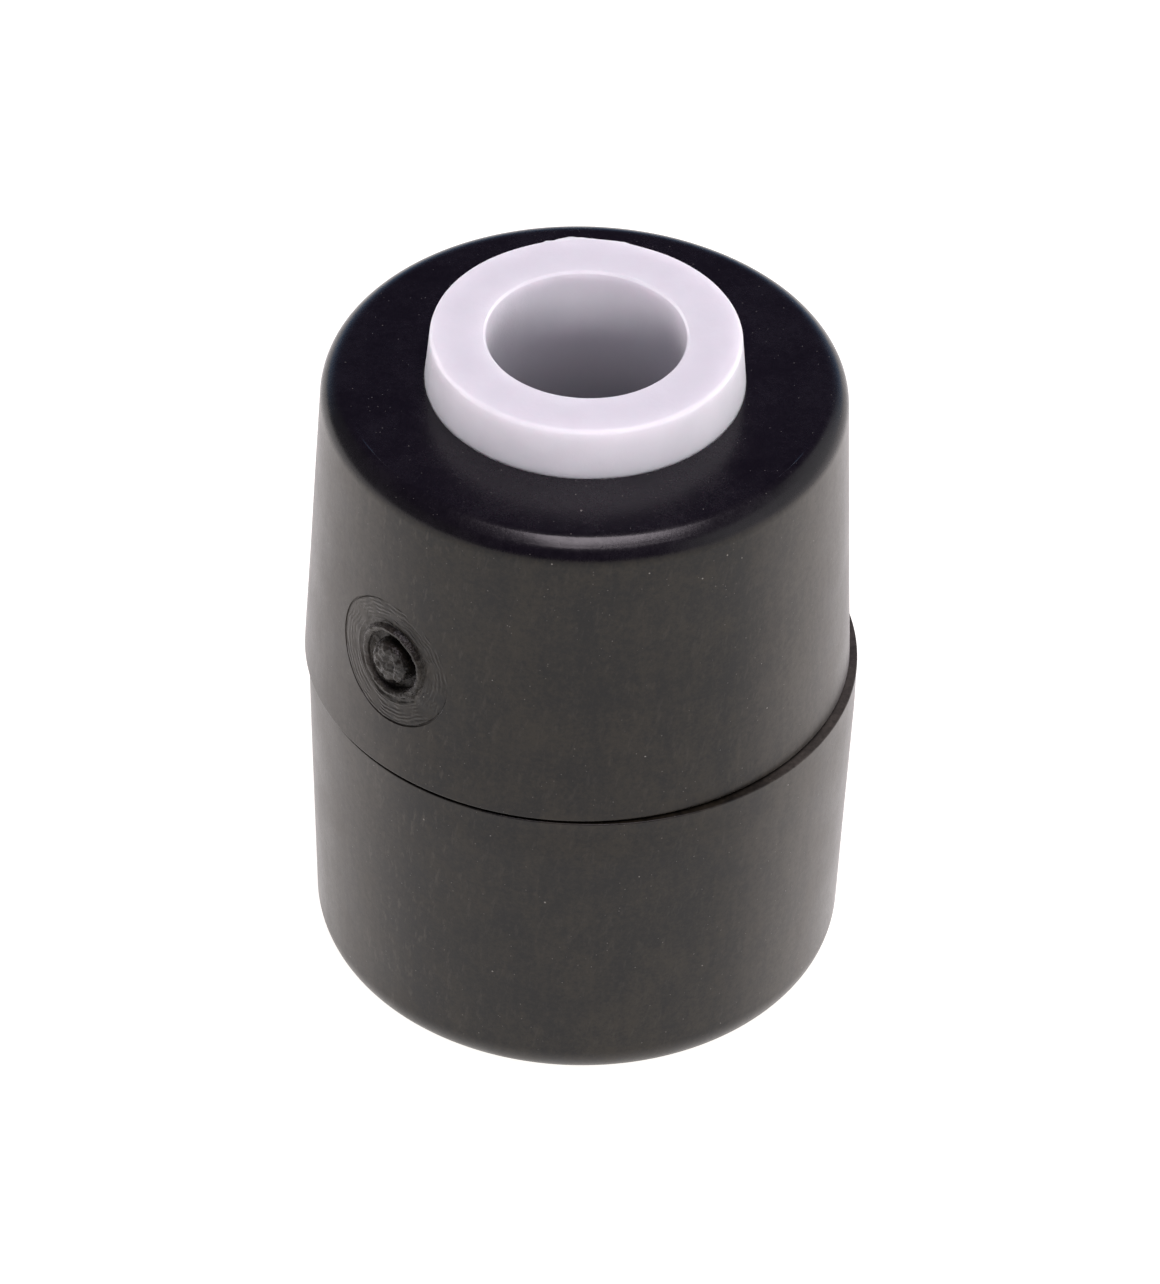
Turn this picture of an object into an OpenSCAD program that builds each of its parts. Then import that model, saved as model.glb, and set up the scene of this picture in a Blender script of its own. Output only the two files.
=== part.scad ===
// Small end-exhaust air muffler: two moulded halves joined at a seam round the middle, a plain
// push-in sleeve at the top, and a diffuser tube packed in felt rings between the two.
// Millimetres, +Z up. The origin is on the sleeve's axis, in the plane of the base.

/* [Housing] */
// Diameter of the upper half at the seam
body_d = 25.4; // [24:0.1:36]
// Height of the two halves together, without the sleeve
body_h = 32.2; // [29.5:0.1:45]
// Height of the seam above the base
seam_z = 16.3; // [12:0.1:20]
// How much larger than the upper half the lower half is at the seam, in diameter
seam_step = 0.24; // [0:0.02:0.6]
// How far the lower half's outside sits off the axis along X
seam_shift_x = 0.3; // [-0.4:0.05:0.4]
// How far the lower half's outside sits off the axis along Y
seam_shift_y = -0.06; // [-0.4:0.02:0.4]
// Draft of the upper half's outside, in degrees
upper_draft = 2.3; // [0.5:0.1:3]
// Draft of the lower half's outside, in degrees
lower_draft = 2.1; // [0.5:0.1:3]
// Radius round the top edge
top_edge_r = 1.15; // [0.3:0.05:1.5]
// Radius round the base edge
base_edge_r = 2; // [0.5:0.1:2.5]
// Thickness of the side wall at the top edge
side_wall = 2.15; // [1.8:0.05:2.5]
// Thickness of the top wall
top_wall = 2.6; // [2.2:0.1:4]
// Thickness of the base
base_wall = 2.4; // [1.6:0.1:4]
// Height of the spigot that joins the halves
spigot_h = 1.8; // [1:0.1:3]
// Thickness of the spigot
spigot_t = 1.3; // [0.8:0.05:1.5]

/* [Gate mark] */
// Height of the gate mark's centre above the base
gate_z = 22.5; // [20:0.1:25]
// Angle of the gate mark to the left of the front, in degrees
gate_angle = 43.3; // [0:0.5:90]
// Diameter of the faint circle that the gate insert leaves
gate_insert_d = 6.6; // [5:0.1:8]
// Depth of that circle
gate_insert_depth = 0.06; // [0.02:0.01:0.15]
// Outside diameter of the groove round the gate pip
gate_groove_d = 3.1; // [2.6:0.1:4.5]
// Depth of the groove
gate_groove_depth = 0.8; // [0.3:0.1:1.2]
// Diameter of the gate pip
gate_pip_d = 2; // [1:0.1:2.3]

/* [Sleeve] */
// Diameter of the bore that takes the air tube
bore_d = 9.2; // [6:0.05:10.2]
// Depth of the bore, down to the lip that stops the tube
bore_depth = 9.5; // [8:0.1:11]
// Chamfer at the bore's mouth
bore_chamfer = 0.1; // [0.1:0.05:0.5]
// How far the sleeve stands above the body
sleeve_proud = 2.55; // [1:0.05:4]
// Outside diameter of the sleeve at its top edge
sleeve_top_d = 14.26; // [13:0.02:16]
// Outside diameter of the sleeve where it meets the body
sleeve_root_d = 14.7; // [14.2:0.02:17.6]
// Radius round the sleeve's outer edge
sleeve_edge_r = 0.2; // [0.1:0.05:0.4]
// Width and height of the lip that stops the tube
stop_lip = 0.8; // [0.5:0.1:1.2]
// Length of the diffuser tube inside the sleeve
diffuser_grip = 2.4; // [1.5:0.1:4]
// Thickness of the sleeve's flange
flange_t = 1.6; // [1:0.1:2.5]
// Section diameter of the sleeve's sealing ring
seal_d = 1.2; // [0.8:0.1:1.4]
// Thickness of the spring ring that holds the flange up
retainer_t = 0.6; // [0.4:0.1:1]
// Number of teeth on the spring ring
retainer_teeth = 12; // [6:1:16]

/* [Diffuser] */
// Outside diameter of the diffuser tube
diffuser_d = 12; // [10:0.1:12.6]
// Wall of the diffuser tube
diffuser_wall = 1.1; // [0.8:0.05:1.3]
// Diameter of the holes in the diffuser tube
diffuser_hole_d = 1.6; // [0.8:0.1:1.8]
// Rows of holes along the diffuser tube
diffuser_rows = 5; // [3:1:6]
// Holes in each row, an even number
diffuser_holes = 8; // [4:2:10]
// Thickness of the gauze sock round the diffuser tube
gauze_t = 0.25; // [0.15:0.05:0.4]
// Thickness of the head of the plug that closes the tube
plug_head_t = 0.8; // [0.5:0.1:1.5]
// Length of the plug inside the tube
plug_grip = 1.6; // [1:0.1:3]
// Diameter of the plug's locating pin
plug_pin_d = 4; // [2:0.1:5]

/* [Packing and exhaust] */
// Number of felt rings below the sleeve's neck
lower_felts = 3; // [3:1:3]
// Clear height left between the felt rings
felt_gap = 0.1; // [0.05:0.05:0.3]
// Thickness of the perforated baffle that carries the packing
baffle_t = 1; // [0.6:0.1:2]
// Diameter of the holes in the baffle
baffle_hole_d = 1.8; // [1:0.1:2.2]
// Number of holes in the baffle
baffle_holes = 16; // [8:1:18]
// Height of the spacer ring under the baffle
spacer_h = 2.2; // [1.5:0.1:4]
// Wall of the spacer ring
spacer_wall = 1.2; // [0.8:0.1:2]
// Thickness of the exhaust filter disc
filter_t = 1.3; // [0.8:0.1:2.5]
// Thickness of the exhaust screen
screen_t = 0.3; // [0.2:0.05:0.6]
// Diameter of the holes in the screen
screen_hole_d = 1; // [0.6:0.1:1.2]
// Distance between the holes in the screen
screen_pitch = 1.7; // [1.5:0.1:2.5]
// Diameter of the exhaust ports in the base
port_d = 2.6; // [1.5:0.1:3]
// Number of ports in the outer ring; the inner ring has half as many
outer_ports = 12; // [6:2:12]

/* [Fits] */
// Radial clearance of parts that push together
push_fit = 0.05; // [0.03:0.01:0.1]
// Radial clearance of soft parts and discs in the cavity
loose_fit = 0.15; // [0.1:0.05:0.3]

/* [Hidden] */
$fn = 96;
eps = 0.01;

// radii
body_r = body_d / 2;
lower_r = body_r + seam_step / 2;
upper_h = body_h - seam_z;
rim_r = body_r - upper_h * tan(upper_draft);
cavity_r = rim_r - side_wall;
spigot_r = cavity_r + spigot_t;
bore_r = bore_d / 2;
neck_r = sleeve_root_d / 2 - push_fit;
neck_hole_r = neck_r + push_fit;
seal_pocket_r = neck_r + seal_d + push_fit;
flange_r = cavity_r - push_fit;
diffuser_r = diffuser_d / 2;
diffuser_bore_r = diffuser_r - diffuser_wall;
gauze_r = diffuser_r + push_fit + gauze_t;
disc_r = cavity_r - loose_fit;

// heights, from the top down to the base
sleeve_top_z = body_h + sleeve_proud;
ceiling_z = body_h - top_wall;
flange_z = ceiling_z - flange_t;
retainer_z = flange_z - retainer_t;
stop_z = sleeve_top_z - bore_depth;
diffuser_top_z = stop_z - stop_lip;
neck_z = diffuser_top_z - diffuser_grip;
screen_z = base_wall;
filter_z = screen_z + screen_t;
spacer_z = filter_z + filter_t;
baffle_z = spacer_z + spacer_h;
packing_z = baffle_z + baffle_t;
diffuser_z = packing_z + plug_head_t;
felt_pitch = (neck_z - packing_z) / lower_felts;
port_ring_r = cavity_r - port_d / 2 - 1;
inner_port_ring_r = port_ring_r / 2;

// gate mark
gate_wall_r = body_r - (gate_z - seam_z) * tan(upper_draft);

// Half of the body as a turned outline: straight draft from the seam at y = 0, then a round edge.
module half_outline(seam_r, height, draft, edge_r) {
    run = (height - edge_r + edge_r * sin(draft)) / cos(draft);
    wall_end = [seam_r - run * sin(draft), run * cos(draft)];
    edge_centre = [wall_end[0] - edge_r * cos(draft), height - edge_r];
    polygon([[0, 0], [seam_r, 0], wall_end, [edge_centre[0], height], [0, height]]);
    translate(edge_centre) circle(edge_r);
}

// Flat ring between two radii, standing on z.
module ring(outer_r, inner_r, z, height) {
    rotate_extrude() translate([inner_r, z]) square([outer_r - inner_r, height]);
}

// Copies round the axis.
module around(count, start = 0) {
    for (i = [0 : count - 1])
        rotate([0, 0, start + i * 360 / count]) children();
}

// Puts children on the gate mark's centre, with +Z pointing out of the wall.
module at_gate() {
    rotate([0, 0, -90 - gate_angle]) translate([gate_wall_r, 0, gate_z]) rotate([0, 90 - upper_draft, 0])
        children();
}

module gate_mark() {
    // faint circle: the wall stands back by the insert's depth
    intersection() {
        at_gate() cylinder(d = gate_insert_d, h = 4, center = true);
        difference() {
            translate([0, 0, seam_z]) cylinder(r = body_r + 1, h = upper_h - top_edge_r);
            translate([0, 0, seam_z - eps])
                cylinder(
                    r1 = body_r - gate_insert_depth,
                    r2 = rim_r - gate_insert_depth,
                    h = upper_h
                );
        }
    }
    // groove round the pip
    at_gate() difference() {
        translate([0, 0, -gate_groove_depth]) cylinder(d = gate_groove_d, h = gate_groove_depth + 1);
        translate([0, 0, -gate_groove_depth - 1]) cylinder(d = gate_pip_d, h = gate_groove_depth + 3);
    }
}

module upper_housing() {
    color([0.09, 0.09, 0.1]) difference() {
        union() {
            rotate_extrude() translate([0, seam_z]) half_outline(body_r, upper_h, upper_draft, top_edge_r);
            translate([0, 0, seam_z - spigot_h]) cylinder(r = spigot_r, h = spigot_h + 1);
        }
        translate([0, 0, seam_z - spigot_h - 1]) cylinder(r = cavity_r, h = ceiling_z - seam_z + spigot_h + 1);
        translate([0, 0, ceiling_z - 1]) cylinder(r = neck_hole_r, h = top_wall + 2);
        translate([0, 0, ceiling_z - 1]) cylinder(r = seal_pocket_r, h = seal_d + 1);
        gate_mark();
    }
}

module lower_housing() {
    color([0.08, 0.08, 0.09]) difference() {
        translate([seam_shift_x, seam_shift_y, seam_z]) rotate_extrude() mirror([0, 1])
            half_outline(lower_r, seam_z, lower_draft, base_edge_r);
        translate([0, 0, base_wall]) cylinder(r = cavity_r, h = seam_z);
        translate([0, 0, seam_z - spigot_h - felt_gap]) cylinder(r = spigot_r + push_fit, h = spigot_h + 1);
        around(outer_ports) translate([port_ring_r, 0, -1]) cylinder(d = port_d, h = base_wall + 2);
        around(outer_ports / 2) translate([inner_port_ring_r, 0, -1])
            cylinder(d = port_d, h = base_wall + 2);
    }
}

module inlet_sleeve() {
    top_r = sleeve_top_d / 2;
    edge = [top_r - sleeve_edge_r, sleeve_top_z - sleeve_edge_r];
    color([0.9, 0.9, 0.94]) difference() {
        rotate_extrude() {
            polygon([
                [0, neck_z], [neck_r, neck_z], [neck_r, body_h], [sleeve_root_d / 2, body_h],
                [top_r, edge[1]], [edge[0], sleeve_top_z], [0, sleeve_top_z]
            ]);
            translate(edge) circle(sleeve_edge_r);
            translate([0, flange_z]) square([flange_r, flange_t]);
        }
        translate([0, 0, stop_z]) cylinder(r = bore_r, h = bore_depth + 1);
        translate([0, 0, sleeve_top_z - bore_chamfer])
            cylinder(r1 = bore_r, r2 = bore_r + 2 * bore_chamfer, h = 2 * bore_chamfer);
        translate([0, 0, neck_z - 1]) cylinder(r = bore_r - stop_lip, h = stop_z - neck_z + 2);
        translate([0, 0, neck_z - 1]) cylinder(r = diffuser_r + push_fit, h = diffuser_grip + 1);
    }
}

module sleeve_seal() {
    color([0.15, 0.15, 0.16]) rotate_extrude()
        translate([neck_r + push_fit + seal_d / 2, ceiling_z + seal_d / 2]) circle(d = seal_d - push_fit);
}

module sleeve_retainer() {
    tooth_w = 2 * cavity_r * sin(90 / retainer_teeth);
    color([0.72, 0.73, 0.75]) difference() {
        ring(flange_r, neck_r + loose_fit, retainer_z, retainer_t);
        around(retainer_teeth) translate([(neck_r + 2 * flange_r) / 3, -tooth_w / 2, retainer_z - 1])
            cube([cavity_r, tooth_w, retainer_t + 2]);
    }
}

module diffuser_tube() {
    // the top and bottom rows keep a solid band as long as the plug's grip and the sleeve's
    first_z = diffuser_z + plug_grip + diffuser_hole_d;
    row_pitch = (neck_z - diffuser_hole_d - first_z) / (diffuser_rows - 1);
    color([0.8, 0.8, 0.78]) difference() {
        ring(diffuser_r, diffuser_bore_r, diffuser_z, diffuser_top_z - diffuser_z);
        for (row = [0 : diffuser_rows - 1])
            translate([0, 0, first_z + row * row_pitch])
                around(diffuser_holes / 2, (row % 2) * 180 / diffuser_holes)
                    rotate([90, 0, 0]) cylinder(d = diffuser_hole_d, h = diffuser_d + 2, center = true);
    }
}

module diffuser_gauze() {
    color([0.66, 0.66, 0.64])
        ring(gauze_r, diffuser_r + push_fit, diffuser_z, neck_z - felt_gap - diffuser_z);
}

module diffuser_plug() {
    color([0.8, 0.8, 0.78]) union() {
        translate([0, 0, packing_z]) cylinder(r = diffuser_r, h = plug_head_t);
        translate([0, 0, packing_z]) cylinder(r = diffuser_bore_r - push_fit, h = plug_head_t + plug_grip);
        translate([0, 0, baffle_z]) cylinder(d = plug_pin_d, h = baffle_t + plug_head_t);
    }
}

// Felt ring number 1 is round the sleeve's neck, the others are round the gauze, counted downwards.
module felt_ring(number) {
    around_neck = number == 1;
    top = around_neck ? retainer_z : neck_z - (number - 2) * felt_pitch;
    bottom = around_neck ? neck_z : neck_z - (number - 1) * felt_pitch;
    inner_r = (around_neck ? neck_r : gauze_r) + loose_fit;
    color([0.85, 0.82, 0.72]) ring(disc_r, inner_r, bottom + felt_gap / 2, top - bottom - felt_gap);
}

module packing_baffle() {
    hole_ring_r = (disc_r - spacer_wall + diffuser_r) / 2;
    color([0.7, 0.71, 0.73]) difference() {
        translate([0, 0, baffle_z]) cylinder(r = disc_r, h = baffle_t);
        translate([0, 0, baffle_z - 1]) cylinder(d = plug_pin_d + 2 * push_fit, h = baffle_t + 2);
        around(baffle_holes) translate([hole_ring_r, 0, baffle_z - 1])
            cylinder(d = baffle_hole_d, h = baffle_t + 2);
    }
}

module spacer_ring() {
    color([0.5, 0.5, 0.52]) ring(disc_r, disc_r - spacer_wall, spacer_z, spacer_h);
}

module exhaust_filter() {
    color([0.85, 0.82, 0.72]) translate([0, 0, filter_z]) cylinder(r = disc_r, h = filter_t);
}

module exhaust_screen() {
    steps = floor(disc_r / screen_pitch) + 1;
    color([0.7, 0.71, 0.73]) difference() {
        translate([0, 0, screen_z]) cylinder(r = disc_r, h = screen_t);
        for (row = [-steps : steps], column = [-steps : steps]) {
            x = (column + (row % 2 == 0 ? 0 : 0.5)) * screen_pitch;
            y = row * screen_pitch * sin(60);
            if (norm([x, y]) < disc_r - screen_hole_d)
                translate([x, y, screen_z - 1]) cylinder(d = screen_hole_d, h = screen_t + 2);
        }
    }
}

upper_housing();
lower_housing();
inlet_sleeve();
sleeve_seal();
sleeve_retainer();
diffuser_tube();
diffuser_gauze();
diffuser_plug();
felt_ring(1);  // felt_ring_1
felt_ring(2);  // felt_ring_2
felt_ring(3);  // felt_ring_3
felt_ring(4);  // felt_ring_4
packing_baffle();
spacer_ring();
exhaust_filter();
exhaust_screen();
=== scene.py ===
# A small push-in air muffler: a black moulded body in two halves with a pale sleeve in its top.
import math

import bmesh
import bpy
from mathutils import Matrix, Vector, noise


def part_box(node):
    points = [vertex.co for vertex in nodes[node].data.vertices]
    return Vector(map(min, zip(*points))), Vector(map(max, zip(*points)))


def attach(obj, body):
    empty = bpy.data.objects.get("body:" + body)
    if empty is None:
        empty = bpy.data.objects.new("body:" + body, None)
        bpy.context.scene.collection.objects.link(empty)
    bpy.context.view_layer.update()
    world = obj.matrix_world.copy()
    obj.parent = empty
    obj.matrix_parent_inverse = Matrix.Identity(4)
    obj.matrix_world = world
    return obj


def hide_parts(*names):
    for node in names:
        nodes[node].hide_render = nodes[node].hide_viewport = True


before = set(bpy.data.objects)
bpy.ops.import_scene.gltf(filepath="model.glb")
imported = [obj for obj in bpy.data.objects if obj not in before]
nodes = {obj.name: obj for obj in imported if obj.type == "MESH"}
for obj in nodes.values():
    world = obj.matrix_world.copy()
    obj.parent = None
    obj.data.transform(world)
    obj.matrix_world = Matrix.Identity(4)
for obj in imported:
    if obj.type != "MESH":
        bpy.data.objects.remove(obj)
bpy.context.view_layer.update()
mm = 0.001


def boxOf(node):
    # lowest and highest corner of a node, in millimetres
    low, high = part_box(node)
    return low / mm, high / mm


# heights and radii that the pieces share, in millimetres
upperLow, upperHigh = boxOf("upper_housing")
lowerLow, lowerHigh = boxOf("lower_housing")
sleeveLow, sleeveHigh = boxOf("inlet_sleeve")
spacerLow, spacerHigh = boxOf("spacer_ring")
body = {
    "seamZ": lowerHigh.z,
    "topZ": upperHigh.z,
    "seamR": upperHigh.x,
    "cavityR": spacerHigh.x + 0.15,
    "ceilingZ": 29.6,
    "upperDraft": 2.3,
    "lowerDraft": 2.1,
    "lowerR": (lowerHigh.x - lowerLow.x) / 2,
    "lowerMiddle": ((lowerHigh.x + lowerLow.x) / 2, (lowerHigh.y + lowerLow.y) / 2),
    "neckHoleR": 7.35,
    "boreR": 4.6,
}
print("frame loaded:", len(nodes), "nodes")


class Wire:
    # one output socket; arithmetic on it adds Math nodes to its graph
    def __init__(self, graph, socket):
        self.graph = graph
        self.socket = socket

    def math(self, operation, *values):
        return self.graph.add("ShaderNodeMath", {"operation": operation}, values)

    def out(self, name):
        return Wire(self.graph, self.graph.find(self.socket.node.outputs, name))

    def __add__(self, other):
        return self.math("ADD", self, other)

    def __sub__(self, other):
        return self.math("SUBTRACT", self, other)

    def __rsub__(self, other):
        return self.math("SUBTRACT", other, self)

    def __mul__(self, other):
        return self.math("MULTIPLY", self, other)

    def __truediv__(self, other):
        return self.math("DIVIDE", self, other)

    def __gt__(self, other):
        return self.math("GREATER_THAN", self, other)

    def __lt__(self, other):
        return self.math("LESS_THAN", self, other)

    __radd__ = __add__
    __rmul__ = __mul__


class Graph:
    # a node tree of a material, the world or a modifier
    def __init__(self, tree):
        self.tree = tree

    def find(self, sockets, key):
        if isinstance(key, int):
            return sockets[key]
        return next((s for s in sockets if s.identifier == key), None) or sockets[key]

    def add(self, kind, settings=None, values=(), output=0):
        node = self.tree.nodes.new(kind)
        for key, value in (settings or {}).items():
            setattr(node, key, value)
        for key, value in values.items() if isinstance(values, dict) else enumerate(values):
            socket = self.find(node.inputs, key)
            if isinstance(value, Wire):
                self.tree.links.new(value.socket, socket)
            else:
                socket.default_value = value
        return Wire(self, self.find(node.outputs, output))

    def mix(self, factor, first, second):
        first, second = [c if isinstance(c, Wire) else (*c, 1) for c in (first, second)]
        values = {"Factor_Float": factor, "A_Color": first, "B_Color": second}
        return self.add("ShaderNodeMix", {"data_type": "RGBA"}, values, "Result_Color")

    def blend(self, value, low, high, under=0.0, over=1.0):
        # eases from under to over while value goes from low to high
        values = {"Value": value, "From Min": low, "From Max": high, "To Min": under, "To Max": over}
        return self.add("ShaderNodeMapRange", {"interpolation_type": "SMOOTHSTEP"}, values)

    def join(self, *parts):
        joined = self.add("GeometryNodeJoinGeometry")
        for part in parts:
            self.tree.links.new(part.socket, joined.socket.node.inputs[0])
        return joined

    def grain(self, place, scale, detail=2.0, roughness=0.5):
        values = {"Vector": place, "Scale": scale, "Detail": detail, "Roughness": roughness}
        return self.add("ShaderNodeTexNoise", None, values, "Fac")

    def place(self, at=(0, 0, 0), turn=(0, 0, 0), stretch=(1, 1, 1)):
        # millimetres on the object, from a centre at, along turned axes
        spot = self.add("ShaderNodeTexCoord", None, (), "Object")
        values = {
            "Vector": spot,
            "Location": [value * mm for value in at],
            "Rotation": turn,
            "Scale": [value * mm for value in stretch],
        }
        return self.add("ShaderNodeMapping", {"vector_type": "TEXTURE"}, values)

    def apart(self, vector):
        node = self.add("ShaderNodeSeparateXYZ", None, (vector,))
        return node, node.out("Y"), node.out("Z")

    def bump(self, height, distance, strength=1.0, normal=None):
        values = {"Height": height, "Distance": distance * mm, "Strength": strength}
        if normal:
            values["Normal"] = normal
        return self.add("ShaderNodeBump", None, values)


def newFinish(name, **fixed):
    material = bpy.data.materials.new(name)
    material.use_nodes = True
    graph = Graph(material.node_tree)
    shader = material.node_tree.nodes["Principled BSDF"]
    for key, value in fixed.items():
        shader.inputs[key.replace("_", " ")].default_value = value
    return material, graph, shader


def connect(graph, shader, **wires):
    for key, wire in wires.items():
        graph.tree.links.new(wire.socket, shader.inputs[key.replace("_", " ")])


gate = {
    "z": 22.5,
    "angle": 43.3,
    "insertR": 3.3,
    "lipR": 1.87,
    "grooveR": 1.52,
    "grooveDepth": 0.8,
    "pipR": 1.0,
}
gateTurn = math.radians(-90 - gate["angle"])
upperSlope = math.radians(body["upperDraft"])
gateWallR = body["seamR"] - (gate["z"] - body["seamZ"]) * math.tan(upperSlope)
gateFrame = Matrix.Rotation(gateTurn, 3, "Z") @ Matrix.Rotation(math.pi / 2 - upperSlope, 3, "Y")
gateCentre = Vector((gateWallR * math.cos(gateTurn), gateWallR * math.sin(gateTurn), gate["z"]))

rubber = {
    "wall": (0.0185, 0.0148, 0.0088),
    "wallDark": (0.0, 0.0, 0.0),
    "smear": (0.046, 0.040, 0.031),
    # painted shade and painted reflection: top and topDark are a darker, cooler copy of the wall colour, for
    # the dark purple sky over the top face
    "top": (0.0090, 0.0072, 0.0105),
    "topDark": (0.0040, 0.0028, 0.0052),
    # painted reflection: pale colour laid on the ±X flanks for the bright surroundings they reflect
    "paintedEdgeReflection": (0.085, 0.077, 0.066),
    "dust": (0.22, 0.21, 0.19),
    "rough": 0.36,
    "topGloss": 0.12,
}


def rubberFinish(name, hasGate):
    material, graph, shader = newFinish(name, IOR=1.375, Sheen_Weight=0.24, Sheen_Roughness=0.26)
    spot = graph.place()
    x, y, z = graph.apart(spot)
    # cloudy mottling and streaks that run down the wall
    cloud = graph.grain(spot, 0.45, 4.0, 0.6)
    fine = graph.grain(spot, 7.0, 4.0, 0.7)
    streak = graph.grain(graph.place(stretch=(0.6, 0.6, 4.0)), 1.1, 3.0, 0.55)
    isTop = graph.blend(z, body["topZ"] - 1.1, body["topZ"] - 0.75)
    pores = graph.grain(spot, 3.2, 5.0, 0.75)
    patch = graph.blend(cloud * 0.3 + streak * 0.15 + fine * 0.2 + pores * 0.35, 0.40, 0.62)
    onWall = graph.mix(patch, rubber["wallDark"], rubber["wall"])
    # handling smears, most of them on the left
    rubbed = graph.grain(graph.place(turn=(0, 0.2, 0.4), stretch=(0.5, 0.5, 1.7)), 1.6, 4.0, 0.65)
    smear = graph.blend(rubbed, 0.54, 0.70) * graph.blend(x, -3.0, -10.0, 0.25, 1.0)
    onWall = graph.mix(smear, onWall, rubber["smear"])
    # painted reflection: the two flanks (±X) are paled towards the sides, standing in for the bright
    # surroundings they reflect
    paintedEdgeReflection = graph.blend(x.math("ABSOLUTE", x), 6.5, 12.0) * (0.5 + patch * 0.5)
    onWall = graph.mix(paintedEdgeReflection, onWall, rubber["paintedEdgeReflection"])
    # painted shade and painted reflection: the top face takes the darker, cooler copy of the rubber colour
    base = graph.mix(isTop, onWall, graph.mix(patch, rubber["topDark"], rubber["top"]))
    # dust: few round flecks of several sizes
    cells = {"Vector": spot, "Scale": 0.9, "Randomness": 1.0}
    fleck = graph.add("ShaderNodeTexVoronoi", {"feature": "F1"}, cells, "Distance")
    chance = graph.apart(fleck.out("Color"))[0]
    dust = (fleck < 0.045 * chance) * (chance > 0.45)
    tiny = {"Vector": spot, "Scale": 3.2, "Randomness": 1.0}
    mote = graph.add("ShaderNodeTexVoronoi", {"feature": "F1"}, tiny, "Distance")
    luck = graph.apart(mote.out("Color"))[1]
    dust = dust.math("MAXIMUM", dust, (mote < 0.10 * luck) * (luck > 0.6) * 0.45)
    base = graph.mix(dust, base, rubber["dust"])
    least = rubber["rough"] - 0.06
    most = rubber["rough"] + 0.08
    rough = graph.blend(fine * 0.5 + cloud * 0.5, 0.3, 0.7, least, most)
    rough = rough - isTop * rubber["topGloss"]
    height = fine * 0.35 + cloud * 0.65 + dust * 0.5
    normal = graph.bump(height, 0.02, 0.5)
    if hasGate:
        # cutter rings on the insert's face
        local = graph.place(gateCentre, gateFrame.to_euler())
        u, v, w = graph.apart(local)
        reach = u.math("SQRT", u * u + v * v)
        ring = u.math("SINE", reach * 30 + graph.grain(local, 0.9, 3.0) * 14)
        worn = graph.blend(graph.grain(local, 1.3, 2.0), 0.42, 0.6)
        onFace = (reach < gate["insertR"] - 0.05) * (reach > gate["lipR"]) * (w > -1)
        normal = graph.bump(ring * worn * onFace, 0.02, 0.7, normal)
        # the broken pip and the lip round it are glossy and torn
        onPip = graph.blend(reach, gate["lipR"] + 0.35, gate["lipR"] - 0.1) * (w > -1.2)
        torn = graph.grain(local, 3.4, 4.0, 0.6)
        normal = graph.bump(torn * onPip, 0.14, 0.8, normal)
        rough = rough - onPip * 0.14
    connect(graph, shader, Base_Color=base, Roughness=rough, Normal=normal)
    return material


nylon = {
    "face": (0.62, 0.62, 0.65),
    "shade": (0.595, 0.595, 0.625),
    # painted shade: the colour the bore fades to at depth
    "deep": (0.30, 0.30, 0.325),
    "rough": 0.46,
}


def nylonFinish():
    fixed = {"IOR": 1.53, "Subsurface_Weight": 1.0, "Subsurface_Scale": 2 * mm}
    material, graph, shader = newFinish("pale nylon", **fixed)
    shader.inputs["Subsurface Radius"].default_value = (1.0, 0.85, 0.9)
    spot = graph.place()
    cloud = graph.grain(spot, 0.5, 3.0, 0.5)
    fine = graph.grain(spot, 5.0, 4.0, 0.6)
    base = graph.mix(graph.blend(cloud, 0.3, 0.7), nylon["shade"], nylon["face"])
    # painted shade: the bore's colour darkens with depth, standing in for the shadow down inside it
    x, y, z = graph.apart(spot)
    inBore = x.math("SQRT", x * x + y * y) < body["boreR"] + 0.06
    depth = graph.blend(z, sleeveHigh.z - 2.5, sleeveHigh.z - 8.0)
    base = graph.mix(inBore * depth, base, nylon["deep"])
    # slightly polished patches
    worn = graph.blend(graph.grain(spot, 1.6, 4.0, 0.7), 0.56, 0.62)
    least = nylon["rough"] - 0.05
    most = nylon["rough"] + 0.08
    rough = graph.blend(fine, 0.3, 0.7, least, most) - worn * 0.06
    normal = graph.bump(fine * 0.4 + cloud * 0.6, 0.02, 0.5)
    normal = graph.bump(graph.grain(spot, 2.2, 5.0, 0.75), 0.05, 0.35, normal)
    connect(graph, shader, Base_Color=base, Roughness=rough, Normal=normal)
    return material


def feltFinish():
    material, graph, shader = newFinish("pressed felt", Sheen_Weight=0.4, Sheen_Roughness=0.6)
    spot = graph.place()
    cloud = graph.grain(spot, 0.6, 4.0, 0.6)
    fibre = graph.grain(graph.place(turn=(0.5, 0.3, 0.9), stretch=(1, 3.5, 1)), 9.0, 5.0, 0.7)
    cross = graph.grain(graph.place(turn=(0.2, 1.1, 0.1), stretch=(1, 3.5, 1)), 8.0, 5.0, 0.7)
    fluff = fibre * 0.5 + cross * 0.5
    light = graph.blend(cloud * 0.5 + fluff * 0.5, 0.35, 0.65)
    base = graph.mix(light, (0.52, 0.48, 0.39), (0.74, 0.70, 0.60))
    rough = graph.blend(fluff, 0.3, 0.7, 0.85, 1.0)
    connect(graph, shader, Base_Color=base, Roughness=rough, Normal=graph.bump(fluff, 0.12, 0.8))
    return material


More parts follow.
